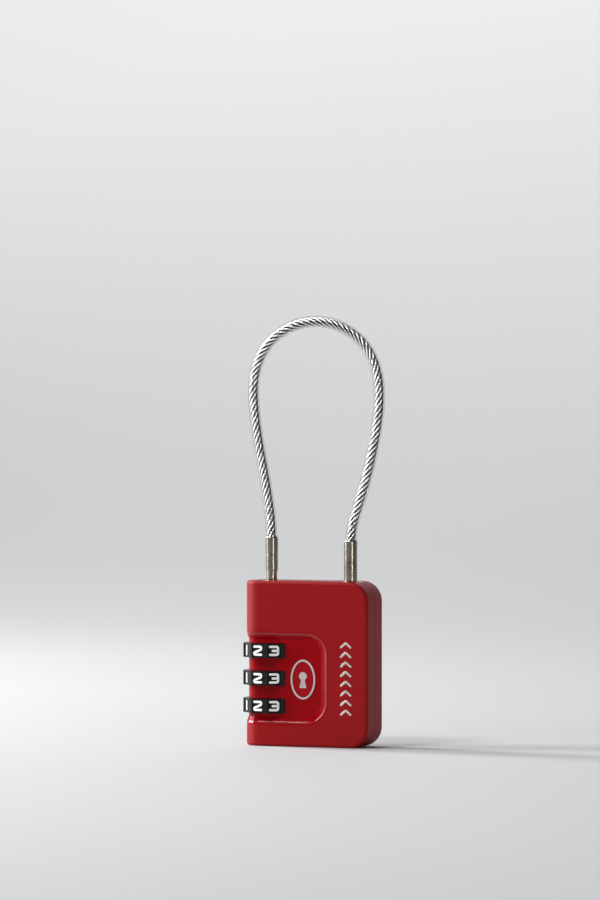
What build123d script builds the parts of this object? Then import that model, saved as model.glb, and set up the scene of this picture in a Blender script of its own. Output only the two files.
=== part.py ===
from build123d import *
import math
import os

# Three-dial cable luggage lock with a wire-rope loop and a service key cylinder.
# Millimetres. +Z up, the front faces -Y, the origin is at the centre of the base.
# The case is two zinc shells that meet on the plane Y = 0. Three number dials turn on
# three brass hubs round the toothed plug, which pulls up when all keyways line up.

os.makedirs("parts", exist_ok=True)

# ---------------------------------------------------------------- case
case_left = -14.95
case_right = 16.0
case_depth = 10.0
case_height = 38.0
case_left_radius = 4.0
case_corner_radius = 4.6
case_rim_radius = 0.7
seam_width = 0.16
seam_depth = 0.15

# ---------------------------------------------------------------- gaps between neighbouring pieces
press_gap = 0.02
fit_gap = 0.05
end_gap = 0.1
swing_gap = 0.3

# ---------------------------------------------------------------- recessed panel round the dials
recess_depth = 0.5
recess_bevel = 1.2
recess_bottom = 6.8
recess_top = 24.5
recess_right = 4.5
recess_corner_radius = 3.3
recess_core_right = 10.0
recess_belt_left = -20.0
recess_belt_depth = 16.0
recess_end_left = -6.0
recess_end_rise = 1.0
cutter_margin = 2.0

# ---------------------------------------------------------------- dials and hubs
dial_x = -9.45
dial_first_z = 9.3
dial_pitch = 6.35
dial_z = [dial_first_z + step * dial_pitch for step in range(3)]
dial_names = ["bottom", "middle", "top"]
dial_positions = 10
dial_height = 3.3
dial_apothem = 6.25
dial_ridge_radius = 6.6
dial_ridge_width = 1.0
dial_bore_radius = 2.95
dial_notch_radius = 3.6
dial_notch_width = 1.1
dial_groove_radius = 3.65
dial_zero_angle = -171.5
dial_pocket_radius = 6.8
dial_pocket_height = 3.44

hub_radius = 2.9
hub_height = 6.3
hub_flange_height = 3.3
hub_bore_radius = 1.3
hub_keyway_width = 1.1
hub_keyway_reach = 2.15
hub_chamber_radius = 2.3
hub_tab_reach = 3.5
hub_tab_width = 1.0
hub_tab_height = 1.2
hub_tab_lift = 0.15
hub_travel = 1.4
hub_tab_angle = dial_zero_angle + 5 * 360 / dial_positions
hub_well_radius = 3.2
hub_spring_room = 3.25
hub_well_bottom = dial_first_z - hub_height / 2 - hub_travel - hub_spring_room

# ---------------------------------------------------------------- plug (the end that pulls out)
plug_radius = 1.25
plug_tip_z = 4.4
plug_shoulder_z = 40.2
plug_tooth_reach = 2.1
plug_tooth_width = 1.0
plug_tooth_height = 1.2
plug_tooth_below_flange = 1.5
plug_channel_radius = 2.4
plug_ferrule_radius = 1.43
plug_ferrule_top = 48.1
ferrule_lip = 0.15
ferrule_ring_share = 0.47
ferrule_ring_half = 0.15
ferrule_ring_floor = 0.07
ferrule_ring_depth = 0.08
ferrule_crimp_height = 0.25
ferrule_crimp_step = 0.1

# ---------------------------------------------------------------- anchored end of the cable
anchor_x = 10.0
anchor_radius = 1.5
anchor_bottom_z = 17.5
anchor_groove_radius = 0.9
anchor_ferrule_radius = 1.52
anchor_ferrule_top = 47.4
bush_radius = 3.0
bush_bottom_z = 34.0
stem_nose_chamfer = 0.4

# ---------------------------------------------------------------- cable
core_radius = 1.05
sheath_radius = 1.3
core_gap = 0.06
core_socket_depth = 3.5
spigot_radius = 0.8
spigot_length = 3.3
bend_share = 0.45
strip_width = 6.0
strip_height = 8.0

# ---------------------------------------------------------------- service key cylinder
key_x = 5.7
key_plug_radius = 2.3
key_plug_bottom = 0.35
key_housing_radius = 3.5
key_housing_bottom = 0.6
key_housing_top = 14.5
keyway_width = 0.9
keyway_length = 3.2
keyway_depth = 11.0
wafer_count = 4
wafer_thickness = 0.5
wafer_pitch = 2.2
wafer_first_z = 3.4
wafer_width = 2.1
wafer_length = 4.0
wafer_window = 2.0
wafer_gap = 0.03
key_mouth_gap = 0.12
key_mouth_chamfer = 0.15
key_tail_radius = 1.2
cam_radius = 3.2
cam_bottom_z = 19.2
cam_thickness = 1.2
cam_gap = 0.2
cam_flat_depth = 1.0
cam_pocket_rise = 1.0
cam_clip_thickness = 0.4
clip_width = 0.7
clip_mouth_length = 1.0
clip_mouth_width = 0.8
clip_mouth_shift = 0.4
key_tail_flats = 1.4
key_tail_rise = 0.7

# ---------------------------------------------------------------- small parts
detent_gap = 0.15
detent_thickness = 0.2
detent_width = 4.4
detent_overhang = 3.1
detent_slit_height = 0.3
detent_slit_shift = 0.5
spring_wire = 0.4
spring_radius = 2.4
spring_turns = 4
washer_height = 0.4
washer_bore_radius = 1.6
pin_radius = 0.8
pin_length = 7.0
pin_places = [(1.2, 34.4), (-2.2, 3.0), (13.4, 30.0), (12.8, 6.0)]

# ---------------------------------------------------------------- badge on the recessed panel
badge_x = 0.05
badge_z = 15.5
badge_width = 6.05
badge_length = 9.1
badge_sunk = 0.3
badge_proud = 0.1
badge_rim = 0.42
badge_gap = 0.04
badge_field_depth = 0.15
fill_gap = 0.01
fill_thickness = 0.17
keyhole_radius = 0.95
keyhole_spread = 0.75
keyhole_foot_width = 1.7
keyhole_foot_height = 2.4
keyhole_foot_angle = 78

front_y = -case_depth / 2
floor_y = front_y + recess_depth


def finish(part, name):
    """Name a finished piece and write it."""
    part.label = name
    export_step(part, "parts/" + name + ".step")


# ================================================================ case shells
with BuildPart() as case_blank:
    with BuildSketch(Plane.XZ.offset(-case_depth / 2)) as outline:
        with Locations(((case_left + case_right) / 2, case_height / 2)):
            Rectangle(case_right - case_left, case_height)
        fillet(outline.vertices().group_by(Axis.X)[-1], radius=case_corner_radius)
    extrude(amount=case_depth)
    left_edges = case_blank.edges().filter_by(Axis.Z).group_by(Axis.X)[0]
    fillet(left_edges, radius=case_left_radius)
    smooth_left = case_blank.edges().filter_by(Axis.Z).filter_by(lambda e: e.center().X < 0)
    smooth_right = case_blank.edges().filter_by(Axis.Y).filter_by(lambda e: e.center().X > 0)
    fillet(case_blank.edges() - smooth_left - smooth_right, radius=case_rim_radius)

# The recess wraps round the left side. Its walls slope, so the core that stands inside it
# keeps one section along the recess and widens past both ends.
recess_height = recess_top - recess_bottom
recess_middle = (recess_top + recess_bottom) / 2
core_left = case_left + recess_depth
end_slope = math.degrees(math.atan(recess_depth / recess_bevel))
core_steps = (
    (recess_bottom, recess_height, 0),
    (recess_top, 2 * cutter_margin, -end_slope),
    (recess_bottom, -2 * cutter_margin, -end_slope),
)
with BuildPart() as recess_core:
    for start, height, slope in core_steps:
        with BuildSketch(Plane.XY.offset(start)) as core_outline:
            with Locations(((core_left + recess_core_right) / 2, 0)):
                Rectangle(recess_core_right - core_left, case_depth - 2 * recess_depth)
            fillet(core_outline.vertices().group_by(Axis.X)[0], radius=case_left_radius - recess_depth)
        extrude(amount=height, taper=slope)

with BuildPart() as recess_belt:
    with BuildSketch(Plane.XY.offset(recess_bottom - cutter_margin)):
        with Locations((recess_belt_left / 2, 0)):
            Rectangle(-recess_belt_left, recess_belt_depth)
    extrude(amount=recess_height + 2 * cutter_margin)
    add(recess_core.part, mode=Mode.SUBTRACT)

# The recess closes on the right of the dials with a round-cornered end, front and back.
with BuildPart() as recess_end:
    with BuildSketch(Plane.XZ.offset(-floor_y)) as end_outline:
        with Locations(((recess_end_left + recess_right) / 2, recess_middle)):
            Rectangle(recess_right - recess_end_left, recess_height)
        fillet(end_outline.vertices().group_by(Axis.X)[-1], radius=recess_corner_radius)
    extrude(amount=recess_end_rise, taper=-math.degrees(math.atan(recess_bevel / recess_depth)))
    mirror(about=Plane.XZ)

# A shallow groove marks the seam between the two shells.
with BuildPart() as seam_groove:
    with BuildSketch(Plane.XZ.offset(-seam_width / 2)) as seam_outline:
        with Locations(((case_left + case_right) / 2, case_height / 2)):
            Rectangle(case_right - case_left + 2 * cutter_margin, case_height + 2 * cutter_margin)
        with BuildSketch(mode=Mode.SUBTRACT) as seam_inside:
            with Locations(((case_left + case_right) / 2, case_height / 2)):
                Rectangle(case_right - case_left - 2 * seam_depth, case_height - 2 * seam_depth)
            fillet(seam_inside.vertices().group_by(Axis.X)[-1], radius=case_corner_radius - seam_depth)
    extrude(amount=seam_width)


def badge_outline(margin):
    """The badge's oval outline, drawn in the current sketch, smaller by margin."""
    Ellipse(badge_width / 2 - margin, badge_length / 2 - margin)


with BuildPart() as case_body:
    add(case_blank.part)
    add(recess_belt.part, mode=Mode.SUBTRACT)
    add(recess_end.part, mode=Mode.SUBTRACT)
    add(seam_groove.part, mode=Mode.SUBTRACT)
    # One round pocket for each dial breaks out of the front, the left side and the back.
    for z in dial_z:
        with BuildSketch(Plane.XY.offset(z - dial_pocket_height / 2)):
            with Locations((dial_x, 0)):
                Circle(dial_pocket_radius)
        extrude(amount=dial_pocket_height, mode=Mode.SUBTRACT)
    # Well for the hubs and their spring, the channel over it and the seat of the guide bush.
    well_top = dial_z[-1] + hub_height / 2 + end_gap
    plug_steps = (
        (hub_well_bottom, well_top, hub_well_radius),
        (well_top, bush_bottom_z, plug_channel_radius),
        (bush_bottom_z, case_height, bush_radius + press_gap),
    )
    for low, high, radius in plug_steps:
        with BuildSketch(Plane.XY.offset(low)):
            with Locations((dial_x, 0)):
                Circle(radius)
        extrude(amount=high - low, mode=Mode.SUBTRACT)
    # Stem bore and bush seat of the anchored end.
    anchor_steps = (
        (anchor_bottom_z - 2 * end_gap, bush_bottom_z, anchor_radius + fit_gap),
        (bush_bottom_z, case_height, bush_radius + press_gap),
    )
    for low, high, radius in anchor_steps:
        with BuildSketch(Plane.XY.offset(low)):
            with Locations((anchor_x, 0)):
                Circle(radius)
        extrude(amount=high - low, mode=Mode.SUBTRACT)
    # Key cylinder pocket with its mouth in the base, the tail's passage and the cam's pocket.
    cam_pocket_top = cam_bottom_z + cam_thickness + cam_pocket_rise
    key_steps = (
        (0, key_housing_bottom, key_plug_radius + key_mouth_gap),
        (key_housing_bottom, key_housing_top, key_housing_radius + press_gap),
        (key_housing_top, cam_bottom_z - cam_gap, key_tail_radius + swing_gap),
        (cam_bottom_z - cam_gap, cam_pocket_top, cam_radius + swing_gap),
    )
    for low, high, radius in key_steps:
        with BuildSketch(Plane.XY.offset(low)):
            with Locations((key_x, 0)):
                Circle(radius)
        extrude(amount=high - low, mode=Mode.SUBTRACT)
    # Slot for the detent leaf beside the dials.
    detent_x = dial_x + dial_ridge_radius + detent_gap
    detent_bottom = dial_z[0] - detent_overhang
    detent_height = 2 * (dial_pitch + detent_overhang)
    with BuildSketch(Plane.XY.offset(detent_bottom - end_gap)):
        with Locations((detent_x + detent_thickness / 2, 0)):
            Rectangle(detent_thickness + end_gap, detent_width + 2 * end_gap)
    extrude(amount=detent_height + 2 * end_gap, mode=Mode.SUBTRACT)
    # Blind holes for the four pins that hold the shells together.
    with BuildSketch(Plane.XZ.offset(-pin_length / 2 - end_gap)):
        with Locations(*pin_places):
            Circle(pin_radius + press_gap)
    extrude(amount=pin_length + 2 * end_gap, mode=Mode.SUBTRACT)
    # Shallow seat for the badge.
    with BuildSketch(Plane.XZ.offset(-floor_y - badge_sunk)):
        with Locations((badge_x, badge_z)):
            badge_outline(-badge_gap)
    extrude(amount=badge_sunk + 2 * end_gap, mode=Mode.SUBTRACT)

with BuildPart() as front_shell:
    add(case_body.part)
    split(bisect_by=Plane.XZ, keep=Keep.TOP)
finish(front_shell.part, "front_shell")

with BuildPart() as rear_shell:
    add(case_body.part)
    split(bisect_by=Plane.XZ, keep=Keep.BOTTOM)
finish(rear_shell.part, "rear_shell")

# ================================================================ dials and hubs
step_angle = 360 / dial_positions
for name, z in zip(dial_names, dial_z):
    with BuildPart() as dial:
        with BuildSketch(Plane.XY.offset(z - dial_height / 2)):
            with Locations((dial_x, 0)):
                flat_angle = dial_zero_angle + step_angle / 2
                RegularPolygon(dial_apothem, dial_positions, major_radius=False, rotation=flat_angle)
                with PolarLocations(dial_ridge_radius / 2, dial_positions, flat_angle):
                    Rectangle(dial_ridge_radius, dial_ridge_width)
                Circle(dial_ridge_radius, mode=Mode.INTERSECT)
                Circle(dial_bore_radius, mode=Mode.SUBTRACT)
        extrude(amount=dial_height)
        # Ten notches in the upper half take the hub's tab; the lower half is a free groove.
        with BuildSketch(Plane.XY.offset(z)):
            with Locations((dial_x, 0)):
                with PolarLocations(dial_notch_radius / 2, dial_positions, dial_zero_angle):
                    Rectangle(dial_notch_radius, dial_notch_width)
        extrude(amount=dial_height / 2, mode=Mode.SUBTRACT)
        with BuildSketch(Plane.XY.offset(z - dial_height / 2)):
            with Locations((dial_x, 0)):
                Circle(dial_groove_radius)
        extrude(amount=dial_height / 2, mode=Mode.SUBTRACT)
    finish(dial.part, "dial_" + name)

    with BuildPart() as hub:
        with BuildSketch(Plane.XY.offset(z - hub_height / 2)):
            with Locations((dial_x, 0)):
                Circle(hub_radius)
        extrude(amount=hub_height)
        with BuildSketch(Plane.XY.offset(z + hub_tab_lift)):
            with Locations((dial_x, 0)):
                with PolarLocations(hub_tab_reach / 2, 1, hub_tab_angle):
                    Rectangle(hub_tab_reach, hub_tab_width)
        extrude(amount=hub_tab_height)
        with BuildSketch(Plane.XY.offset(z - hub_height / 2)):
            with Locations((dial_x, 0)):
                Circle(hub_bore_radius)
                with Locations((hub_keyway_reach / 2, 0)):
                    Rectangle(hub_keyway_reach, hub_keyway_width)
        extrude(amount=hub_height, mode=Mode.SUBTRACT)
        with BuildSketch(Plane.XY.offset(z - hub_height / 2)):
            with Locations((dial_x, 0)):
                Circle(hub_chamber_radius)
        extrude(amount=hub_height - hub_flange_height, mode=Mode.SUBTRACT)
    finish(hub.part, "hub_" + name)

# ================================================================ plug
flange_drop = hub_flange_height - hub_height / 2
with BuildPart() as plug_pin:
    with BuildSketch(Plane.XY.offset(plug_tip_z)):
        with Locations((dial_x, 0)):
            Circle(plug_radius)
    extrude(amount=plug_shoulder_z - plug_tip_z)
    chamfer(plug_pin.faces().sort_by(Axis.Z)[0].edges(), length=stem_nose_chamfer)
    with BuildSketch(Plane.XY.offset(plug_shoulder_z)):
        with Locations((dial_x, 0)):
            Circle(spigot_radius)
    extrude(amount=spigot_length)
    for z in dial_z:
        tooth_top = z - flange_drop - plug_tooth_below_flange
        with BuildSketch(Plane.XY.offset(tooth_top - plug_tooth_height)):
            with Locations((dial_x + plug_tooth_reach / 2, 0)):
                Rectangle(plug_tooth_reach, plug_tooth_width)
        extrude(amount=plug_tooth_height)
finish(plug_pin.part, "plug_pin")


def ferrule_profile(radius, bottom, top):
    """Half section of a turned ferrule with a ring groove near mid-height."""
    ring = bottom + ferrule_ring_share * (top - bottom)
    groove = radius - ferrule_ring_depth
    Polyline(
        (0, bottom),
        (radius - ferrule_lip, bottom),
        (radius, bottom + ferrule_lip),
        (radius, ring - ferrule_ring_half),
        (groove, ring - ferrule_ring_floor),
        (groove, ring + ferrule_ring_floor),
        (radius, ring + ferrule_ring_half),
        (radius, top - ferrule_crimp_height),
        (radius - ferrule_crimp_step, top),
        (0, top),
        close=True,
    )


ferrules = (
    ("plug_ferrule", dial_x, plug_ferrule_radius, plug_shoulder_z, plug_ferrule_top),
    ("anchor_ferrule", anchor_x, anchor_ferrule_radius, case_height, anchor_ferrule_top),
)
for name, x, radius, bottom, top in ferrules:
    with BuildPart() as ferrule:
        with BuildSketch(Plane.XZ.shift_origin((x, 0, 0))):
            with BuildLine():
                ferrule_profile(radius, bottom, top)
            make_face()
        revolve(axis=Axis((x, 0, 0), (0, 0, 1)))
        with BuildSketch(Plane.XY.offset(top)):
            with Locations((x, 0)):
                Circle(core_radius + core_gap)
        extrude(amount=-core_socket_depth, mode=Mode.SUBTRACT)
        with BuildSketch(Plane.XY.offset(bottom)):
            with Locations((x, 0)):
                Circle(spigot_radius + press_gap)
        extrude(amount=spigot_length + end_gap, mode=Mode.SUBTRACT)
    finish(ferrule.part, name)

with BuildPart() as pin_guide_bush:
    with BuildSketch(Plane.XY.offset(bush_bottom_z)):
        with Locations((dial_x, 0)):
            Circle(bush_radius)
            Circle(plug_radius + fit_gap, mode=Mode.SUBTRACT)
        with Locations((dial_x + hub_keyway_reach / 2, 0)):
            Rectangle(hub_keyway_reach, hub_keyway_width, mode=Mode.SUBTRACT)
    extrude(amount=case_height - bush_bottom_z - end_gap)
finish(pin_guide_bush.part, "pin_guide_bush")

# ================================================================ anchored end
with BuildPart() as anchor_stem:
    with BuildSketch(Plane.XY.offset(anchor_bottom_z)):
        with Locations((anchor_x, 0)):
            Circle(anchor_radius)
    extrude(amount=case_height - anchor_bottom_z)
    chamfer(anchor_stem.faces().sort_by(Axis.Z)[0].edges(), length=stem_nose_chamfer)
    with BuildSketch(Plane.XY.offset(cam_bottom_z - cam_gap)):
        with Locations((anchor_x, 0)):
            Circle(anchor_radius)
            Circle(anchor_groove_radius, mode=Mode.SUBTRACT)
    extrude(amount=cam_thickness + 2 * cam_gap, mode=Mode.SUBTRACT)
    with BuildSketch(Plane.XY.offset(case_height)):
        with Locations((anchor_x, 0)):
            Circle(spigot_radius)
    extrude(amount=spigot_length)
finish(anchor_stem.part, "anchor_stem")

with BuildPart() as anchor_bush:
    with BuildSketch(Plane.XY.offset(bush_bottom_z)):
        with Locations((anchor_x, 0)):
            Circle(bush_radius)
            Circle(anchor_radius + press_gap, mode=Mode.SUBTRACT)
    extrude(amount=case_height - bush_bottom_z - end_gap)
finish(anchor_bush.part, "anchor_bush")

# ================================================================ cable
# The loop stands up by its own stiffness, a little fuller on the anchored side.
cable_route = [
    (-9.45, 44.6), (-9.45, 50.6), (-10.4, 57.4), (-11.7, 64.4), (-13, 71.2), (-13.9, 78), (-14.05, 84),
    (-12.55, 89.6), (-8.85, 94.3), (-3.05, 97.25), (3.3, 97.8), (9.3, 95.9), (14.1, 91.9), (16.7, 86.2),
    (17.2, 79.6), (16.4, 72.8), (15.1, 66.4), (13.5, 60.3), (11.6, 54.5), (10, 49.4), (10, 43.9),
]
cable_points = [Vector(x, 0, z) for x, z in cable_route]
bend_radii = []
for before, corner, after in zip(cable_points, cable_points[1:], cable_points[2:]):
    turn = math.radians((corner - before).get_angle(after - corner))
    run = min((corner - before).length, (after - corner).length)
    bend_radii.append(bend_share * run / math.tan(turn / 2))
print("cable bend radii:", [round(radius, 1) for radius in bend_radii])

with BuildPart() as cable_core:
    with BuildLine():
        core_path = FilletPolyline(*cable_points, radius=bend_radii)
    with BuildSketch(Plane(cable_points[0], z_dir=(0, 0, 1))):
        Circle(core_radius)
    sweep()
print("cable length:", round(core_path.length, 2))
print("core volume / section x length:",
      round(cable_core.part.volume / (math.pi * core_radius ** 2 * core_path.length), 5))
finish(cable_core.part, "cable_core")

with BuildPart() as cable_sheath:
    with BuildLine():
        FilletPolyline(*cable_points, radius=bend_radii)
    with BuildSketch(Plane(cable_points[0], z_dir=(0, 0, 1))):
        Circle(sheath_radius)
        Circle(core_radius, mode=Mode.SUBTRACT)
    sweep()
    # The vinyl is stripped where the rope enters the ferrules.
    for x, top in ((dial_x, plug_ferrule_top), (anchor_x, anchor_ferrule_top)):
        with BuildSketch(Plane.XY.offset(top)):
            with Locations((x, 0)):
                Rectangle(strip_width, strip_width)
        extrude(amount=-strip_height, mode=Mode.SUBTRACT)
finish(cable_sheath.part, "cable_sheath")

# ================================================================ service key cylinder
with BuildPart() as key_housing:
    with BuildSketch(Plane.XY.offset(key_housing_bottom)):
        with Locations((key_x, 0)):
            Circle(key_housing_radius)
            Circle(key_plug_radius + fit_gap, mode=Mode.SUBTRACT)
    extrude(amount=key_housing_top - key_housing_bottom)
finish(key_housing.part, "key_housing")

plug_body_top = key_housing_top - swing_gap
cam_clip_bottom = cam_bottom_z + cam_thickness + fit_gap
with BuildPart() as key_plug:
    with BuildSketch(Plane.XY.offset(key_plug_bottom)):
        with Locations((key_x, 0)):
            Circle(key_plug_radius)
    extrude(amount=plug_body_top - key_plug_bottom)
    chamfer(key_plug.faces().sort_by(Axis.Z)[0].edges(), length=key_mouth_chamfer)
    with BuildSketch(Plane.XY.offset(plug_body_top)):
        with Locations((key_x, 0)):
            Circle(key_tail_radius)
    extrude(amount=cam_bottom_z - plug_body_top)
    # The tail has two flats where the cam and its clip sit.
    with BuildSketch(Plane.XY.offset(cam_bottom_z)):
        with Locations((key_x, 0)):
            Circle(key_tail_radius)
            Rectangle(2 * key_tail_radius, key_tail_flats, mode=Mode.INTERSECT)
    extrude(amount=cam_thickness + key_tail_rise)
    with BuildSketch(Plane.XY.offset(key_plug_bottom)):
        with Locations((key_x, 0)):
            Rectangle(keyway_width, keyway_length)
    extrude(amount=keyway_depth, mode=Mode.SUBTRACT)
    for step in range(wafer_count):
        with BuildSketch(Plane.XY.offset(wafer_first_z + step * wafer_pitch)):
            with Locations((key_x, 0)):
                Rectangle(wafer_width + end_gap, wafer_length + 2 * end_gap)
        extrude(amount=wafer_thickness + 2 * wafer_gap, mode=Mode.SUBTRACT)
finish(key_plug.part, "key_plug")


def tail_hole(bottom):
    """The double-flat hole that fits over the tail, as a sketch at the given height."""
    with BuildSketch(Plane.XY.offset(bottom)) as hole:
        with Locations((key_x, 0)):
            Circle(key_tail_radius + press_gap)
            Rectangle(2 * key_tail_radius + end_gap, key_tail_flats + 2 * press_gap, mode=Mode.INTERSECT)
    return hole.sketch


with BuildPart() as key_wafers:
    for step in range(wafer_count):
        with BuildSketch(Plane.XY.offset(wafer_first_z + step * wafer_pitch + wafer_gap)):
            with Locations((key_x, 0)):
                Rectangle(wafer_width, wafer_length)
                Rectangle(keyway_width + end_gap, wafer_window, mode=Mode.SUBTRACT)
        extrude(amount=wafer_thickness)
finish(key_wafers.part, "key_wafers")

with BuildPart() as lock_cam:
    with BuildSketch(Plane.XY.offset(cam_bottom_z)):
        with Locations((key_x, 0)):
            Circle(cam_radius)
        # A flat on the front side lets the stem go when the cam turns a quarter.
        with Locations((key_x, -cam_radius)):
            Rectangle(2 * cam_radius, 2 * cam_flat_depth, mode=Mode.SUBTRACT)
    extrude(amount=cam_thickness)
    extrude(tail_hole(cam_bottom_z), amount=cam_thickness, mode=Mode.SUBTRACT)
finish(lock_cam.part, "lock_cam")

with BuildPart() as cam_clip:
    with BuildSketch(Plane.XY.offset(cam_clip_bottom)):
        with Locations((key_x, 0)):
            Circle(key_tail_radius + clip_width)
        with Locations((key_x + key_tail_radius + clip_mouth_shift, 0)):
            Rectangle(clip_mouth_length, clip_mouth_width, mode=Mode.SUBTRACT)
    extrude(amount=cam_clip_thickness)
    extrude(tail_hole(cam_clip_bottom), amount=cam_clip_thickness, mode=Mode.SUBTRACT)
finish(cam_clip.part, "cam_clip")

# ================================================================ springs, washer, pins
with BuildPart() as detent_leaf:
    with BuildSketch(Plane.XY.offset(detent_bottom)):
        with Locations((detent_x + detent_thickness / 2, 0)):
            Rectangle(detent_thickness, detent_width)
    extrude(amount=detent_height)
    # Two slits part the strip into one finger for each dial.
    for z in dial_z[:-1]:
        with BuildSketch(Plane.YZ.offset(detent_x)):
            with Locations((detent_slit_shift, z + dial_pitch / 2)):
                Rectangle(detent_width, detent_slit_height)
        extrude(amount=detent_thickness, mode=Mode.SUBTRACT)
finish(detent_leaf.part, "detent_leaf")

spring_bottom = hub_well_bottom + washer_height
spring_top = dial_z[0] - hub_height / 2 - fit_gap
spring_rise = spring_top - spring_bottom - spring_wire
with BuildPart() as hub_spring:
    with BuildLine():
        coil = Helix(pitch=spring_rise / spring_turns, height=spring_rise, radius=spring_radius,
                     center=(dial_x, 0, spring_bottom + spring_wire / 2))
    with BuildSketch(Plane(coil @ 0, z_dir=coil % 0)):
        Circle(spring_wire / 2)
    sweep(is_frenet=True)
finish(hub_spring.part, "hub_spring")

with BuildPart() as spring_washer:
    with BuildSketch(Plane.XY.offset(hub_well_bottom)):
        with Locations((dial_x, 0)):
            Circle(hub_well_radius - end_gap)
            Circle(washer_bore_radius, mode=Mode.SUBTRACT)
    extrude(amount=washer_height)
finish(spring_washer.part, "spring_washer")

with BuildPart() as case_pins:
    with BuildSketch(Plane.XZ.offset(-pin_length / 2)):
        with Locations(*pin_places):
            Circle(pin_radius)
    extrude(amount=pin_length)
finish(case_pins.part, "case_pins")

# ================================================================ badge
badge_plane = Plane.XZ.offset(-floor_y - badge_sunk)
field_plane = badge_plane.offset(badge_sunk - badge_field_depth)
field_to_top = badge_field_depth + badge_proud
with BuildPart() as badge_plate:
    with BuildSketch(badge_plane):
        with Locations((badge_x, badge_z)):
            badge_outline(0)
    extrude(amount=badge_sunk + badge_proud)
    # The field inside the rim is lower and holds the coloured fill.
    with BuildSketch(field_plane):
        with Locations((badge_x, badge_z)):
            badge_outline(badge_rim)
    extrude(amount=field_to_top, mode=Mode.SUBTRACT)
    # A raised keyhole stands in the middle of the field.
    with BuildSketch(field_plane):
        with Locations((badge_x, badge_z + keyhole_spread)):
            Circle(keyhole_radius)
        with Locations((badge_x, badge_z - keyhole_spread)):
            Trapezoid(keyhole_foot_width, keyhole_foot_height, keyhole_foot_angle)
    extrude(amount=field_to_top)
finish(badge_plate.part, "badge_plate")

with BuildPart() as badge_fill:
    with BuildSketch(field_plane):
        with Locations((badge_x, badge_z)):
            badge_outline(badge_rim + fill_gap)
    extrude(amount=fill_thickness)
    add(badge_plate.part, mode=Mode.SUBTRACT)
finish(badge_fill.part, "badge_fill")
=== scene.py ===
import math

import bmesh
import bpy
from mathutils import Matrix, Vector


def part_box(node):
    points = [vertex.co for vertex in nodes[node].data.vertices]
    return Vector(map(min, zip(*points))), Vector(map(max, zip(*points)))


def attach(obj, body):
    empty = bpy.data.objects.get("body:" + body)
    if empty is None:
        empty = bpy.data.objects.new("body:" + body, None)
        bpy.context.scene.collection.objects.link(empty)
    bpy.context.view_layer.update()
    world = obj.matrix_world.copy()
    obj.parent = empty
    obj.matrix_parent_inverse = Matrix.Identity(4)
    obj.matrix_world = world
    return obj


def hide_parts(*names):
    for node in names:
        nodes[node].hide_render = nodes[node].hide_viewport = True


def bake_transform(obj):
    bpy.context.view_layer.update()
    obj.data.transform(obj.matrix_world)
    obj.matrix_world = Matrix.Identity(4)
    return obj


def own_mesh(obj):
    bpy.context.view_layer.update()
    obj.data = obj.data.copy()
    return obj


# Cable luggage lock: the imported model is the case, the dials and the mechanism. This script adds
# the stranded cable in its clear coating, a round-wire spring, the dials' digits, the printed
# stripe, every material, the floor, the lights and the camera. Metres; +Z up, the front faces -Y.

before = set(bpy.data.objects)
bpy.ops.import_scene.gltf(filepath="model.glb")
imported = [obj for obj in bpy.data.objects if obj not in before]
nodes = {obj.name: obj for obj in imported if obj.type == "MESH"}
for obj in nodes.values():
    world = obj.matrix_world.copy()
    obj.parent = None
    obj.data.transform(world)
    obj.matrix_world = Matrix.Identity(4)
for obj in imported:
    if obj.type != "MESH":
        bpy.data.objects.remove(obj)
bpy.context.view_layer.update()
MM = 0.001

# ---------------------------------------------------------------- places read from the frame
front_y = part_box("front_shell")[0][1]
dial_boxes = {name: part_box("dial_" + name) for name in ("bottom", "middle", "top")}
plug_low, plug_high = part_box("plug_ferrule")
plug_x = (plug_low[0] + plug_high[0]) / 2
plug_top = plug_high[2]
anchor_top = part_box("anchor_ferrule")[1][2]
spring_low, spring_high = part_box("hub_spring")

# ---------------------------------------------------------------- camera
VIEW_YAW = math.radians(21.5)
VIEW_PITCH = math.radians(1.03)
VIEW_DISTANCE = 1.248
VIEW_HEIGHT = 0.0905
VIEW_SIDE = -0.0023
LENS = 217.2
SENSOR_WIDTH = 36
CLIP_NEAR = 0.05
CLIP_FAR = 20

# ---------------------------------------------------------------- cable
CABLE_DIAMETER = 2.6 * MM
CABLE_ROUTE = [
    (-9.45, 44.6), (-9.45, 50.6), (-10.4, 57.4), (-11.7, 64.4), (-13, 71.2), (-13.9, 78), (-14.05, 84),
    (-12.55, 89.6), (-8.85, 94.3), (-3.05, 97.25), (3.3, 97.8), (9.3, 95.9), (14.1, 91.9), (16.7, 86.2),
    (17.2, 79.6), (16.4, 72.8), (15.1, 66.4), (13.5, 60.3), (11.6, 54.5), (10, 49.4), (10, 43.9),
]
ROUTE_RESOLUTION = 24
RING_STEP = 0.40 * MM
COATING_SIDES = 24
COATING_OVERLAP = 0.25 * MM     # how far the coating goes down into a ferrule
CORE_SIDES = 16
ROPE_STRANDS = 6
ROPE_RADIUS = 1.04 * MM
ROPE_LAY = 9.0 * MM             # length of one turn of a strand round the rope
STRAND_RADIUS = 0.345 * MM
STRAND_LAY = 4.0 * MM           # length of one turn of a wire round its strand
STRAND_SIDES = 24
STRAND_LOBES = 6
LOBE_DEPTH = 0.12

# ---------------------------------------------------------------- spring under the hubs
SPRING_TURNS = 4
SPRING_STEPS = 128
SPRING_SIDES = 12
SPRING_WIRE_RADIUS = 0.2 * MM

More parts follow.
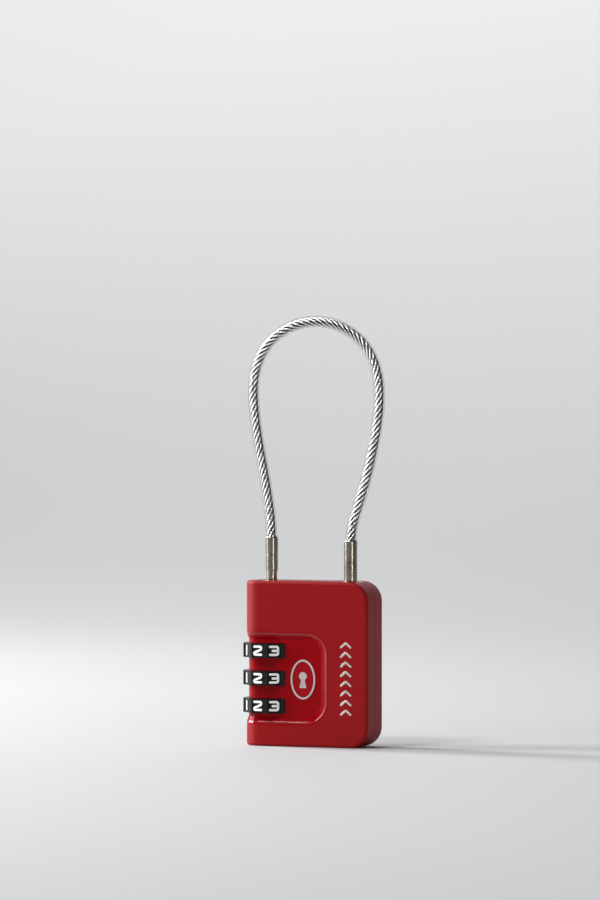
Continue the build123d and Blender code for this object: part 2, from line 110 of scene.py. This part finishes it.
# ---------------------------------------------------------------- raised lines
CORNER_STEPS = 5
CORNER_SHARE = 0.45             # most of a run's length that a rounded corner may take
CAP_STEPS = 5
CAP_TIP = 0.04                  # width left at the very end of a round cap, as a share
STROKE_TIP = 0.02               # least half width of the bevelled top, as a share
BEVEL_SLOPE = 1.2
BEVEL_MOST = 0.4
SHOULDER = 0.35                 # height of the upright side, as a share of the whole
FOOT = -0.25                    # the foot lies below the surface, by this share of the height

DIAL_APOTHEM = 6.25 * MM        # from the dial's axis to its flat cells
DIAL_ZERO = math.radians(-171.5)
DIAL_POSITIONS = 10
DIGIT_HALF = 0.92 * MM
DIGIT_STROKE = 0.54 * MM
DIGIT_CORNER = 0.42 * MM
DIGIT_RAISE = 0.04 * MM
# Each numeral's strokes in a square from -1 to 1. A stroke that ends where it starts is a loop.
DIGIT_STROKES = [
    [[(0, 1), (1, 1), (1, -1), (-1, -1), (-1, 1), (0, 1)]],
    [[(0, 1), (0, -1)]],
    [[(-1, 1), (1, 1), (1, 0.28), (-1, -0.5), (-1, -1), (1, -1)]],
    [[(-1, 1), (1, 1), (1, -1), (-1, -1)], [(-0.35, 0), (1, 0)]],
    [[(-0.8, 1), (-1, -0.35), (1, -0.35)], [(0.5, 0.45), (0.5, -1)]],
    [[(1, 1), (-1, 1), (-1, 0.1), (1, 0.1), (1, -1), (-1, -1)]],
    [[(1, 1), (-1, 1), (-1, -1), (1, -1), (1, 0.05), (-1, 0.05)]],
    [[(-1, 1), (1, 1), (1, 0.45), (-0.2, -1)]],
    [[(0, 1), (1, 1), (1, -1), (-1, -1), (-1, 1), (0, 1)], [(-1, 0), (1, 0)]],
    [[(-1, -1), (1, -1), (1, 1), (-1, 1), (-1, -0.05), (1, -0.05)]],
]

STRIPE_X = 10.7 * MM
STRIPE_Z = 15.9 * MM
STRIPE_COUNT = 8
STRIPE_PITCH = 2.2 * MM
STRIPE_RAISE = 0.015 * MM
CHEVRON_HALF_WIDTH = 1.15 * MM
CHEVRON_HALF_HEIGHT = 0.5 * MM
CHEVRON_STROKE = 0.48 * MM
CHEVRON_CORNER = 0.3 * MM

# ---------------------------------------------------------------- recess in the case, for its paint
RECESS_X = 6.3 * MM
RECESS_Z = (5.0 * MM, 26.3 * MM)
RECESS_CORNER = 5.1 * MM
# Bands along the recess's outline, from and to, measured outwards from it.
PAINT_CHANGE = (-0.25 * MM, 0.35 * MM)
SOFT_EDGE = (-0.75 * MM, -0.20 * MM)
LIP_RISE = (-0.85 * MM, -0.7 * MM)
LIP_FALL = (-0.3 * MM, -0.1 * MM)
SOFT_EDGE_HEIGHT = 0.16 * MM
RECESS_ROUGH, CASE_ROUGH = 0.15, 0.46
RECESS_SHINE, CASE_SHINE, LIP_SHINE = 0.07, 0.17, 0.45
RECESS_GRAIN = 0.06             # share of the case's grain that is left inside the recess

# ---------------------------------------------------------------- colours and noises
# Most colours are a pair that a noise mixes.
CASE_RED = (0.23, 0.0010, 0.0028), (0.31, 0.0020, 0.0050)
CASE_RED_CLOUD = (0.215, 0.0008, 0.0026)
CLOUD_SHARE = 0.35
RECESS_RED = (0.245, 0.0002, 0.0030), (0.275, 0.0003, 0.0040)
DIAL_BLACK = (0.003, 0.0028, 0.003), (0.007, 0.0066, 0.007)
# Painted sheen: a lighter grey on the dials' ridges, where they catch the light.
RIDGE_SHEEN_GREY = (0.018, 0.017, 0.018), (0.034, 0.033, 0.034)
RIDGE_SHEEN_SHARE = 0.6
RIDGE_RADII = (DIAL_APOTHEM + 0.20 * MM, DIAL_APOTHEM + 0.35 * MM)
DIGIT_WHITE = (0.84, 0.84, 0.83), (0.95, 0.95, 0.94)
WIRE_BRIGHT = (0.80, 0.80, 0.81), (0.96, 0.96, 0.97)
# Painted shade: a dark grey for the wire down in the grooves, where the rope shades itself.
WIRE_GROOVE_SHADE = (0.10, 0.103, 0.11)
GROOVE_SHADE_CRESTS = (0.62, 0.95)      # painted groove shade below the first, the wire's own bright colour above the second
VINYL_GREY = (0.10, 0.105, 0.11), (0.16, 0.165, 0.175)
ENAMEL_RED = (0.24, 0.0, 0.005), (0.36, 0.0003, 0.009)
FLOOR_GREY = (0.52, 0.525, 0.53), (0.55, 0.555, 0.56)
NICKEL = (0.27, 0.235, 0.185), (0.52, 0.47, 0.38)
BRASS = (0.50, 0.36, 0.13), (0.72, 0.55, 0.25)
STEEL = (0.32, 0.32, 0.33), (0.52, 0.52, 0.53)
KEY_NICKEL = (0.40, 0.37, 0.31), (0.60, 0.56, 0.48)
SILVER = (0.66, 0.60, 0.54), (0.86, 0.82, 0.76)

# Each noise: cells per metre, detail, roughness.
CASE_SPECK = (2600.0, 3.0, 0.6)
CASE_CLOUD = (120.0, 3.0, 0.55)
CASE_GRAIN = (3400.0, 2.0, 0.6)
DIAL_SPECK = (1800.0, 3.0, 0.6)
DIGIT_SPECK = (900.0, 3.0, 0.6)
WIRE_SPECK = (900.0, 3.0, 0.6)
METAL_MARKS = (600.0, 4.0, 0.65)
METAL_CLOUD = (180.0, 2.0, 0.5)
VINYL_HAZE = (350.0, 3.0, 0.6)
ENAMEL_CLOUD = (260.0, 3.0, 0.6)
FLOOR_CLOUD = (3.0, 2.0, 0.5)
NOISE_RANGE = (0.3, 0.7)        # where most of a noise's values lie
NOISE_MIDDLE = (0.35, 0.65)     # a narrower range, for more contrast

# ---------------------------------------------------------------- floor and light
FLOOR_FRONT = -3.0
FLOOR_HALF_WIDTH = 4.0
CURVE_START = 0.45
CURVE_RADIUS = 2.2
CURVE_STEPS = 48
BACKDROP_TOP = 3.5
LOCK_MIDDLE = (0, 0, 0.045)
WORLD_COLOUR = (0.9, 0.94, 1.0, 1)
WORLD_STRENGTH = 0.10


# ---------------------------------------------------------------- meshes
def link_mesh(name, vertices, faces, smooth=True):
    """A new mesh object from vertices and faces."""
    mesh = bpy.data.meshes.new(name)
    mesh.from_pydata([tuple(v) for v in vertices], [], faces)
    mesh.validate()
    mesh.update()
    if smooth:
        mesh.polygons.foreach_set("use_smooth", [True] * len(mesh.polygons))
    obj = bpy.data.objects.new(name, mesh)
    bpy.context.collection.objects.link(obj)
    return obj


def fix_normals(obj):
    """Turn every closed shell's faces outward."""
    shape = bmesh.new()
    shape.from_mesh(obj.data)
    bmesh.ops.recalc_face_normals(shape, faces=shape.faces)
    shape.to_mesh(obj.data)
    shape.free()


def add_rings(vertices, faces, rings, closed=False):
    """Skin a list of rings of points with quads. Both ends are capped, or joined if it is closed."""
    base = len(vertices)
    sides = len(rings[0])
    count = len(rings)
    for ring in rings:
        vertices.extend(ring)
    for row in range(count if closed else count - 1):
        here = base + row * sides
        there = base + (row + 1) % count * sides
        for side in range(sides):
            beside = (side + 1) % sides
            faces.append((here + side, here + beside, there + beside, there + side))
    if not closed:
        faces.append(tuple(base + side for side in reversed(range(sides))))
        faces.append(tuple(base + (count - 1) * sides + side for side in range(sides)))


def ring_at(centre, u, v, radius, sides):
    """Points of a circle in the plane of u and v."""
    angles = [2 * math.pi * side / sides for side in range(sides)]
    return [centre + (u * math.cos(a) + v * math.sin(a)) * radius for a in angles]


# ---------------------------------------------------------------- cable
def route_line():
    """Points evenly spaced along the route's NURBS spline, and its length."""
    curve = bpy.data.curves.new("cable_line", "CURVE")
    curve.dimensions = "3D"
    curve.resolution_u = ROUTE_RESOLUTION
    spline = curve.splines.new("NURBS")
    spline.points.add(len(CABLE_ROUTE) - 1)
    for point, (x, z) in zip(spline.points, CABLE_ROUTE):
        point.co = (x * MM, 0, z * MM, 1)
    spline.order_u = 3
    spline.use_endpoint_u = True
    holder = bpy.data.objects.new("cable_line", curve)
    bpy.context.collection.objects.link(holder)
    mesh = bpy.data.meshes.new_from_object(holder)
    raw = [v.co.copy() for v in mesh.vertices]
    bpy.data.objects.remove(holder)
    bpy.data.meshes.remove(mesh)
    lengths = [0.0]
    for a, b in zip(raw, raw[1:]):
        lengths.append(lengths[-1] + (b - a).length)
    count = round(lengths[-1] / RING_STEP)
    line = []
    at = 0
    for step in range(count + 1):
        want = lengths[-1] * step / count
        while at < len(raw) - 2 and lengths[at + 1] < want:
            at += 1
        part = (want - lengths[at]) / (lengths[at + 1] - lengths[at])
        line.append(raw[at].lerp(raw[at + 1], part))
    return line, lengths[-1]


def line_frames(line):
    """For each point of a line in the XZ plane: the point, its sideways axis, the Y axis and its
    direction."""
    y_axis = Vector((0, 1, 0))
    frames = []
    for i, point in enumerate(line):
        along = (line[min(i + 1, len(line) - 1)] - line[max(i - 1, 0)]).normalized()
        frames.append((point, along.cross(y_axis), y_axis, along))
    return frames


def strand_ring(centre, out, around, twist):
    """One section of a strand: a circle with a shallow lobe for each of its outer wires."""
    ring = []
    for side in range(STRAND_SIDES):
        angle = 2 * math.pi * side / STRAND_SIDES
        lobe = 0.5 - 0.5 * math.cos(STRAND_LOBES * angle)
        reach = STRAND_RADIUS * (1 - LOBE_DEPTH * lobe)
        turned = angle + twist
        ring.append(centre + out * reach * math.cos(turned) + around * reach * math.sin(turned))
    return ring


def build_coating(frames):
    """The clear coating as one tube between the ferrules, and the points it follows."""
    coated = []
    for section in frames:
        ferrule_top = plug_top if section[0].x < 0 else anchor_top
        if section[0].z > ferrule_top - COATING_OVERLAP:
            coated.append(section)
    vertices, faces = [], []
    rings = [ring_at(point, side, y, CABLE_DIAMETER / 2, COATING_SIDES) for point, side, y, along in coated]
    add_rings(vertices, faces, rings)
    return link_mesh("cable_coating", vertices, faces), [section[0] for section in coated]


def build_rope(frames, length):
    """A round core with the strands laid round it. The attribute crest is 1 on the outside of the rope and
    falls to 0 towards its middle; it masks the shade painted into the grooves."""
    vertices, faces = [], []
    lay_radius = ROPE_RADIUS - STRAND_RADIUS
    rings = [ring_at(point, side, y, lay_radius, CORE_SIDES) for point, side, y, along in frames]
    add_rings(vertices, faces, rings)
    crests = [0.0] * len(vertices)
    step = length / (len(frames) - 1)
    for strand in range(ROPE_STRANDS):
        rings = []
        for i, (point, side, y, along) in enumerate(frames):
            turn = 2 * math.pi * (strand / ROPE_STRANDS - i * step / ROPE_LAY)
            out = side * math.cos(turn) + y * math.sin(turn)
            centre = point + out * lay_radius
            twist = 2 * math.pi * i * step / STRAND_LAY
            rings.append(strand_ring(centre, out, along.cross(out), twist))
            crests += [0.5 + 0.5 * (place - centre).dot(out) / STRAND_RADIUS for place in rings[-1]]
        add_rings(vertices, faces, rings)
    rope = link_mesh("cable_rope", vertices, faces)
    crest = rope.data.attributes.new("crest", "FLOAT", "POINT")
    for index, value in enumerate(crests):
        crest.data[index].value = value
    return rope


# ---------------------------------------------------------------- spring
def build_spring():
    """A round-wire helix in the place of the hub spring."""
    radius = (spring_high[0] - spring_low[0]) / 2 - SPRING_WIRE_RADIUS
    bottom = spring_low[2] + SPRING_WIRE_RADIUS
    rise = spring_high[2] - spring_low[2] - 2 * SPRING_WIRE_RADIUS
    rings = []
    for step in range(SPRING_STEPS + 1):
        turn = 2 * math.pi * SPRING_TURNS * step / SPRING_STEPS
        out = Vector((math.cos(turn), math.sin(turn), 0))
        centre = Vector((plug_x, 0, bottom + rise * step / SPRING_STEPS)) + out * radius
        rings.append(ring_at(centre, out, Vector((0, 0, 1)), SPRING_WIRE_RADIUS, SPRING_SIDES))
    vertices, faces = [], []
    add_rings(vertices, faces, rings)
    coil = link_mesh("hub_spring_coil", vertices, faces)
    fix_normals(coil)
    return coil


# ---------------------------------------------------------------- digits and stripe
def rounded(points, radius):
    """The same polyline with its inner corners turned into short arcs."""
    out = [Vector(points[0])]
    for before, corner, after in zip(points, points[1:], points[2:]):
        before, corner, after = Vector(before), Vector(corner), Vector(after)
        back = (before - corner).normalized()
        ahead = (after - corner).normalized()
        runs = (before - corner).length, (after - corner).length
        cut = min(radius, runs[0] * CORNER_SHARE, runs[1] * CORNER_SHARE)
        start = corner + back * cut
        end = corner + ahead * cut
        for step in range(CORNER_STEPS + 1):
            t = step / CORNER_STEPS
            out.append(start * (1 - t) ** 2 + corner * 2 * t * (1 - t) + end * t ** 2)
    out.append(Vector(points[-1]))
    return out


def stroke_stations(points, half):
    """Along a 2D polyline: each place, the direction there, and the share of the full width. An
    open line has round ends."""
    if points[0] == points[-1]:
        loop = points[:-1]
        ahead = loop[1:] + loop[:1]
        behind = loop[-1:] + loop[:-1]
        return [(at, (after - before).normalized(), 1.0) for before, at, after in zip(behind, loop, ahead)]
    first = (points[1] - points[0]).normalized()
    last = (points[-1] - points[-2]).normalized()
    caps = []
    for step in range(CAP_STEPS + 1):
        turn = math.pi / 2 * step / CAP_STEPS
        caps.append((math.sin(turn), max(math.cos(turn), CAP_TIP)))
    stations = [(points[0] - first * half * reach, first, share) for reach, share in reversed(caps)]
    for before, at, after in zip(points, points[1:], points[2:]):
        stations.append((at, (after - before).normalized(), 1.0))
    stations += [(points[-1] + last * half * reach, last, share) for reach, share in caps]
    return stations


def add_stroke(vertices, faces, points, width, height, place):
    """A raised flat line with bevelled sides along a 2D polyline; place maps (across, up, out) to
    a point in space."""
    half = width / 2
    bevel = min(height * BEVEL_SLOPE, half * BEVEL_MOST)
    up_side = [(0, FOOT), (0, SHOULDER), (bevel, 1.0)]
    profile = [(-1, inset, lift) for inset, lift in up_side]
    profile += [(1, inset, lift) for inset, lift in reversed(up_side)]
    rings = []
    for centre, along, share in stroke_stations(points, half):
        across = Vector((-along.y, along.x))
        ring = []
        for side, inset, lift in profile:
            flat = centre + across * side * max(half * share - inset, half * STROKE_TIP)
            ring.append(place(flat.x, flat.y, height * lift))
        rings.append(ring)
    add_rings(vertices, faces, rings, closed=points[0] == points[-1])


def build_digits(name):
    """The ten white numerals of one dial, each on its own flat cell."""
    low, high = dial_boxes[name]
    centre_z = (low[2] + high[2]) / 2
    vertices, faces = [], []
    for digit, strokes in enumerate(DIGIT_STROKES):
        angle = DIAL_ZERO + 2 * math.pi * digit / DIAL_POSITIONS
        out = Vector((math.cos(angle), math.sin(angle), 0))
        across = Vector((0, 0, 1)).cross(out)
        origin = Vector((plug_x, 0, centre_z)) + out * DIAL_APOTHEM

        def place(x, y, lift):
            return origin + across * x + Vector((0, 0, y)) + out * lift

        for stroke in strokes:
            points = rounded([(x * DIGIT_HALF, y * DIGIT_HALF) for x, y in stroke], DIGIT_CORNER)
            add_stroke(vertices, faces, points, DIGIT_STROKE, DIGIT_RAISE, place)
    numerals = link_mesh("digits_" + name, vertices, faces, smooth=False)
    fix_normals(numerals)
    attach(numerals, name + "_dial")
    return numerals


def build_stripe():
    """A printed silver column of chevrons on the front, right of the recess."""
    vertices, faces = [], []

    def place(x, y, lift):
        return Vector((STRIPE_X + x, front_y - lift, STRIPE_Z + y))

    for step in range(STRIPE_COUNT):
        y = (step - (STRIPE_COUNT - 1) / 2) * STRIPE_PITCH
        foot = y - CHEVRON_HALF_HEIGHT
        points = [(-CHEVRON_HALF_WIDTH, foot), (0, y + CHEVRON_HALF_HEIGHT), (CHEVRON_HALF_WIDTH, foot)]
        add_stroke(vertices, faces, rounded(points, CHEVRON_CORNER), CHEVRON_STROKE, STRIPE_RAISE, place)
    printed = link_mesh("printed_stripe", vertices, faces, smooth=False)
    fix_normals(printed)
    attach(printed, "housing")
    return printed


# ---------------------------------------------------------------- materials
class Paint:
    """A node material with a Principled shader, and short calls that add nodes before it.
    A value is a plain number, a plain (red, green, blue) or another node's output."""

    def __init__(self, name):
        self.material = bpy.data.materials.new(name)
        self.material.use_nodes = True
        self.tree = self.material.node_tree
        self.inputs = self.tree.nodes["Principled BSDF"].inputs
        self.place = self.tree.nodes.new("ShaderNodeTexCoord").outputs["Object"]

    def add(self, kind, **values):
        """A new node with its inputs set."""
        node = self.tree.nodes.new(kind)
        for name, value in values.items():
            self.feed(node.inputs[name.replace("_", " ")], value)
        return node

    def feed(self, socket, value):
        """Link an output to an input, or set the input to a plain number or colour."""
        if isinstance(value, bpy.types.NodeSocket):
            self.tree.links.new(value, socket)
        elif isinstance(value, tuple) and socket.type == "RGBA":
            socket.default_value = (*value, 1)
        else:
            socket.default_value = value

    def finish(self, **values):
        """Set the shader's own inputs and give back the material."""
        for name, value in values.items():
            self.feed(self.inputs[name.replace("_", " ")], value)
        return self.material

    def axes(self):
        """The X, Y and Z of a point on the object."""
        return self.add("ShaderNodeSeparateXYZ", Vector=self.place).outputs

    def math(self, operation, *values):
        """One operation on one or two values."""
        node = self.add("ShaderNodeMath")
        node.operation = operation
        for socket, value in zip(node.inputs, values):
            self.feed(socket, value)
        return node.outputs[0]

    def length(self, a, b):
        """The length of the vector (a, b)."""
        squares = self.math("ADD", self.math("MULTIPLY", a, a), self.math("MULTIPLY", b, b))
        return self.math("SQRT", squares)

    def noise(self, settings, place=None):
        """A noise texture's value, from one of the noises above."""
        scale, detail, rough = settings
        node = self.add("ShaderNodeTexNoise", Scale=scale, Detail=detail, Roughness=rough)
        self.feed(node.inputs["Vector"], place or self.place)
        return node.outputs["Fac"]

    def ramp(self, value, given, result, shape="LINEAR"):
        """Map a value from one range, a pair, to another, and clamp it."""
        node = self.add("ShaderNodeMapRange", Value=value, From_Min=given[0], From_Max=given[1],
                        To_Min=result[0], To_Max=result[1])
        node.interpolation_type = shape
        return node.outputs["Result"]

    def mix(self, factor, a, b):
        """Mix two colours."""
        node = self.add("ShaderNodeMix")
        node.data_type = "RGBA"
        self.feed(node.inputs["Factor"], factor)
        self.feed(node.inputs[6], a)
        self.feed(node.inputs[7], b)
        return node.outputs[2]

    def bump(self, height, strength, distance, under=None):
        """The normal of a bumped surface, over another bump if one is given."""
        node = self.add("ShaderNodeBump", Height=height, Strength=strength, Distance=distance)
        if under:
            self.feed(node.inputs["Normal"], under)
        return node.outputs["Normal"]


def red_paint():
    """Fine-textured matte red outside the recess, smooth and glossier red inside it."""
    paint = Paint("red_paint_textured")
    x, _, z = paint.axes()
    # Distance from the middle of the recess's round corners: RECESS_CORNER on its outline.
    right = paint.math("MAXIMUM", paint.math("SUBTRACT", x, RECESS_X - RECESS_CORNER), 0.0)
    middle = sum(RECESS_Z) / 2
    straight = (RECESS_Z[1] - RECESS_Z[0]) / 2 - RECESS_CORNER
    above = paint.math("ABSOLUTE", paint.math("SUBTRACT", z, middle))
    above = paint.math("MAXIMUM", paint.math("SUBTRACT", above, straight), 0.0)
    reach = paint.length(right, above)

    def across(band, result, shape="LINEAR"):
        """Change a value across one of the bands along the outline."""
        return paint.ramp(reach, [RECESS_CORNER + edge for edge in band], result, shape)

    outside = across(PAINT_CHANGE, (0.0, 1.0))
    speck = paint.noise(CASE_SPECK)
    cloud = paint.noise(CASE_CLOUD)
    matte = paint.mix(paint.ramp(speck, NOISE_RANGE, (0.0, 1.0)), *CASE_RED)
    matte = paint.mix(paint.ramp(cloud, NOISE_MIDDLE, (0.0, CLOUD_SHARE)), matte, CASE_RED_CLOUD)
    glossy = paint.mix(paint.ramp(cloud, NOISE_MIDDLE, (0.0, 1.0)), *RECESS_RED)
    rough = paint.ramp(outside, (0.0, 1.0), (RECESS_ROUGH, CASE_ROUGH))
    rough = paint.math("ADD", rough, paint.ramp(cloud, NOISE_RANGE, (-0.03, 0.03)))
    # A soft edge where the bevel meets the flat face, under the matte paint's grain.
    soft_edge = paint.bump(across(SOFT_EDGE, (0.0, 1.0), "SMOOTHSTEP"), 1.0, SOFT_EDGE_HEIGHT)
    grain_share = paint.ramp(outside, (0.0, 1.0), (RECESS_GRAIN, 1.0))
    grain = paint.math("MULTIPLY", paint.noise(CASE_GRAIN), grain_share)
    # The bevel's lip shines more.
    lip = paint.math("MULTIPLY", across(LIP_RISE, (0.0, 1.0)), across(LIP_FALL, (1.0, 0.0)))
    shine = paint.ramp(outside, (0.0, 1.0), (RECESS_SHINE, CASE_SHINE))
    shine = paint.math("ADD", shine, paint.math("MULTIPLY", lip, LIP_SHINE))
    return paint.finish(Base_Color=paint.mix(outside, glossy, matte), Roughness=rough,
                        Normal=paint.bump(grain, 0.35, 0.06 * MM, soft_edge), Specular_IOR_Level=shine)


def dial_black():
    """Satin black cells, with a slightly greyer sheen painted on the ridges."""
    paint = Paint("dial_black_satin")
    x, y, _ = paint.axes()
    radial = paint.length(paint.math("SUBTRACT", x, plug_x), y)
    # The ridges are painted lighter grey as a sheen.
    ridge = paint.ramp(radial, RIDGE_RADII, (0.0, RIDGE_SHEEN_SHARE))
    speck = paint.noise(DIAL_SPECK)
    colour = paint.mix(ridge, paint.mix(speck, *DIAL_BLACK), paint.mix(speck, *RIDGE_SHEEN_GREY))
    return paint.finish(Base_Color=colour, Roughness=paint.ramp(speck, NOISE_RANGE, (0.24, 0.36)),
                        Normal=paint.bump(speck, 0.12, 0.03 * MM), Specular_IOR_Level=0.15)


def digit_white():
    """White filled numerals, slightly uneven."""
    paint = Paint("digit_white_fill")
    speck = paint.noise(DIGIT_SPECK)
    return paint.finish(Base_Color=paint.mix(speck, *DIGIT_WHITE),
                        Roughness=paint.ramp(speck, NOISE_RANGE, (0.45, 0.6)))


def metal(name, colours, rough, stretch):
    """A metal whose fine marks are stretched along an axis, as turning or drawing leaves them:
    the axis with the smaller number has the longer marks."""
    paint = Paint(name)
    stretched = paint.add("ShaderNodeMapping", Vector=paint.place, Scale=stretch).outputs[0]
    marks = paint.noise(METAL_MARKS, stretched)
    both = paint.math("MULTIPLY", paint.math("ADD", marks, paint.noise(METAL_CLOUD)), 0.5)
    return paint.finish(Base_Color=paint.mix(paint.ramp(both, NOISE_MIDDLE, (0.0, 1.0)), *colours),
                        Roughness=paint.ramp(both, NOISE_MIDDLE, rough),
                        Normal=paint.bump(marks, 0.15, 0.02 * MM), Metallic=1.0)


def rope_wire():
    """Bright drawn wire, with shade painted dark down in the grooves between the strands."""
    paint = Paint("bright_rope_wire")
    crest = paint.add("ShaderNodeAttribute")
    crest.attribute_name = "crest"
    # Shade painted into the grooves: the wire turns dark grey where the crest attribute is low.
    lit = paint.ramp(crest.outputs["Fac"], GROOVE_SHADE_CRESTS, (0.0, 1.0))
    speck = paint.noise(WIRE_SPECK)
    return paint.finish(Base_Color=paint.mix(lit, WIRE_GROOVE_SHADE, paint.mix(speck, *WIRE_BRIGHT)),
                        Roughness=paint.ramp(speck, NOISE_RANGE, (0.16, 0.26)),
                        Normal=paint.bump(speck, 0.1, 0.01 * MM), Metallic=1.0)


def clear_vinyl():
    """A clear coating: seen through face on, glossy towards its edges."""
    paint = Paint("clear_vinyl_coating")
    edge = paint.add("ShaderNodeLayerWeight", Blend=0.35).outputs["Facing"]
    haze = paint.noise(VINYL_HAZE)
    alpha = paint.math("ADD", paint.ramp(edge, (0.25, 0.95), (0.0, 0.65)),
                       paint.ramp(haze, (0.35, 0.8), (0.0, 0.03)))
    return paint.finish(Base_Color=paint.mix(haze, *VINYL_GREY), Alpha=alpha, Specular_IOR_Level=1.0,
                        Roughness=paint.ramp(haze, NOISE_RANGE, (0.07, 0.14)))


def enamel():
    """Deep red enamel with a clear coat."""
    paint = Paint("badge_enamel_red")
    cloud = paint.noise(ENAMEL_CLOUD)
    return paint.finish(Base_Color=paint.mix(cloud, *ENAMEL_RED),
                        Roughness=paint.ramp(cloud, NOISE_RANGE, (0.16, 0.26)),
                        Specular_IOR_Level=0.1, Coat_Weight=0.08, Coat_Roughness=0.06)


def pale_floor():
    """Matte, almost even pale grey."""
    paint = Paint("pale_floor")
    return paint.finish(Base_Color=paint.mix(paint.noise(FLOOR_CLOUD), *FLOOR_GREY), Roughness=0.7)


def assign(material, *things):
    """Give objects, or CAD nodes by their names, this one material in every slot."""
    for thing in things:
        obj = nodes[thing] if isinstance(thing, str) else thing
        if not obj.data.materials:
            obj.data.materials.append(material)
        for slot in range(len(obj.data.materials)):
            obj.data.materials[slot] = material


# ---------------------------------------------------------------- camera, floor, lights
def add_camera():
    """A long lens to the right of the front, almost level, with the lock low in the frame."""
    data = bpy.data.cameras.new("camera")
    data.lens = LENS
    data.sensor_width = SENSOR_WIDTH
    data.clip_start = CLIP_NEAR
    data.clip_end = CLIP_FAR
    camera = bpy.data.objects.new("camera", data)
    right = Vector((math.cos(VIEW_YAW), math.sin(VIEW_YAW), 0))
    away = Vector((math.sin(VIEW_YAW), -math.cos(VIEW_YAW), 0))
    camera.location = away * VIEW_DISTANCE + right * VIEW_SIDE + Vector((0, 0, VIEW_HEIGHT))
    camera.rotation_euler = (math.pi / 2 - VIEW_PITCH, 0, VIEW_YAW)
    bpy.context.collection.objects.link(camera)
    bpy.context.scene.camera = camera


def build_stage():
    """A pale floor that curves up into a backdrop."""
    profile = [(FLOOR_FRONT, 0.0)]
    for step in range(CURVE_STEPS + 1):
        turn = math.pi / 2 * step / CURVE_STEPS
        rise = CURVE_RADIUS * (1 - math.cos(turn))
        profile.append((CURVE_START + CURVE_RADIUS * math.sin(turn), rise))
    profile.append((CURVE_START + CURVE_RADIUS, BACKDROP_TOP))
    vertices = [(side * FLOOR_HALF_WIDTH, y, z) for y, z in profile for side in (-1, 1)]
    faces = [(2 * i, 2 * i + 1, 2 * i + 3, 2 * i + 2) for i in range(len(profile) - 1)]
    stage = link_mesh("studio_floor", vertices, faces)
    assign(pale_floor(), stage)


def add_light(name, place, target, size, watts):
    """A rectangular soft light aimed at a point."""
    data = bpy.data.lights.new(name, "AREA")
    data.shape = "RECTANGLE"
    data.size, data.size_y = size
    data.energy = watts
    light = bpy.data.objects.new(name, data)
    light.location = place
    light.rotation_euler = (Vector(target) - Vector(place)).to_track_quat("-Z", "Y").to_euler()
    bpy.context.collection.objects.link(light)


# ---------------------------------------------------------------- the pieces
add_camera()

line, rope_length = route_line()
frames = line_frames(line)
coating, coated_line = build_coating(frames)
coated_length = sum((b - a).length for a, b in zip(coated_line, coated_line[1:]))
rope = build_rope(frames, rope_length)
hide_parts("cable_sheath")
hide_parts("cable_core")
tuple(coated_line[0])
[tuple(p) for p in coated_line]
for piece in (coating, rope):
    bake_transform(piece)

spring = build_spring()
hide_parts("hub_spring")
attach(spring, "housing")
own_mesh(spring)

digits = [build_digits(name) for name in dial_boxes]
stripe = build_stripe()

# ---------------------------------------------------------------- what each piece is made of
assign(red_paint(), "front_shell", "rear_shell")
assign(dial_black(), *["dial_" + name for name in dial_boxes])
assign(digit_white(), *digits)
nickel = metal("satin_nickel_warm", NICKEL, rough=(0.14, 0.26), stretch=(60, 60, 4))
assign(nickel, "plug_ferrule", "anchor_ferrule", "plug_pin", "anchor_stem")
brass = metal("turned_brass", BRASS, rough=(0.25, 0.42), stretch=(4, 4, 60))
assign(brass, "hub_bottom", "hub_middle", "hub_top", "pin_guide_bush", "anchor_bush", "key_wafers")
steel = metal("plain_steel", STEEL, rough=(0.28, 0.45), stretch=(30, 30, 30))
assign(steel, spring, "lock_cam", "cam_clip", "detent_leaf", "hub_spring", "spring_washer", "case_pins")
cylinder = metal("key_cylinder_nickel", KEY_NICKEL, rough=(0.24, 0.4), stretch=(40, 40, 4))
assign(cylinder, "key_housing", "key_plug")
silver = metal("badge_silver_satin", SILVER, rough=(0.28, 0.42), stretch=(20, 20, 20))
assign(silver, "badge_plate", stripe)
assign(enamel(), "badge_fill")
assign(rope_wire(), rope)
assign(clear_vinyl(), coating)

# ---------------------------------------------------------------- the studio
build_stage()
add_light("key_left", place=(-0.73, -0.20, 0.30), target=LOCK_MIDDLE, size=(0.18, 0.5), watts=6.4)
add_light("rim_left_back", place=(-0.60, 0.10, 0.36), target=LOCK_MIDDLE, size=(0.12, 0.5), watts=5.0)
add_light("top_front", place=(-0.26, -0.50, 0.66), target=LOCK_MIDDLE, size=(0.26, 0.20), watts=3.7)
add_light("edge_right", place=(0.50, -0.42, 0.12), target=LOCK_MIDDLE, size=(0.02, 0.3), watts=0.6)
add_light("backdrop_wash", place=(-0.6, 1.0, 1.8), target=(-0.8, 2.4, 0.9), size=(2.0, 0.8), watts=54.0)
world = bpy.data.worlds.new("studio")
world.use_nodes = True
background = world.node_tree.nodes["Background"].inputs
background["Color"].default_value = WORLD_COLOUR
background["Strength"].default_value = WORLD_STRENGTH
bpy.context.scene.world = world
bpy.context.scene.view_settings.view_transform = "Standard"
